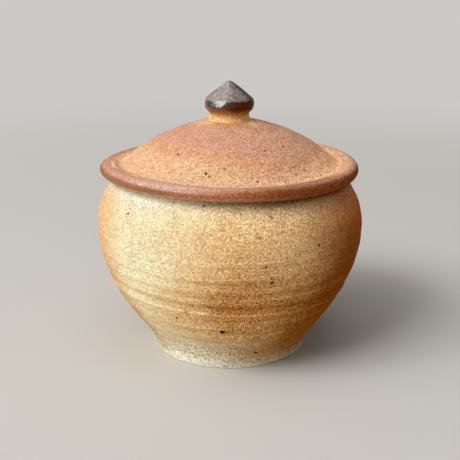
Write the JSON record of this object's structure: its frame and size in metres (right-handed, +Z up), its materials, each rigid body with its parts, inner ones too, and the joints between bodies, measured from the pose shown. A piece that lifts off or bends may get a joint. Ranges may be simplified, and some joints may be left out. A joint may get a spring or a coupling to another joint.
{
  "type": "salt jar",
  "caption": "Round-bellied stoneware salt jar with a domed, lipped lid that locates in the mouth and lifts off by a pointed glazed knob.",
  "frame": {"origin": "centre of the foot ring, on the surface that the jar stands on", "axes": "+Z up along the axis that every piece is turned round, +Y away from the viewer of the picture, +X to the viewer's right"},
  "size_m": [0.11, 0.11, 0.1111],
  "materials": {
    "jar_stoneware": "matt wood-fired stoneware, ochre with orange and brown flashing",
    "lid_stoneware": "matt wood-fired stoneware, terracotta with a red-brown lip",
    "knob_glaze": "glossy dark brown iron glaze"
  },
  "bodies": {
    "jar": {"jar_body": "jar_stoneware"},
    "lid": {"lid": "lid_stoneware", "lid_knob": "knob_glaze"}
  },
  "joints": [
    {"name": "lid_lift", "type": "slide", "parent": "jar", "child": "lid", "axis": [0, 0, 1], "range_m": [0, 0.1]}
  ]
}
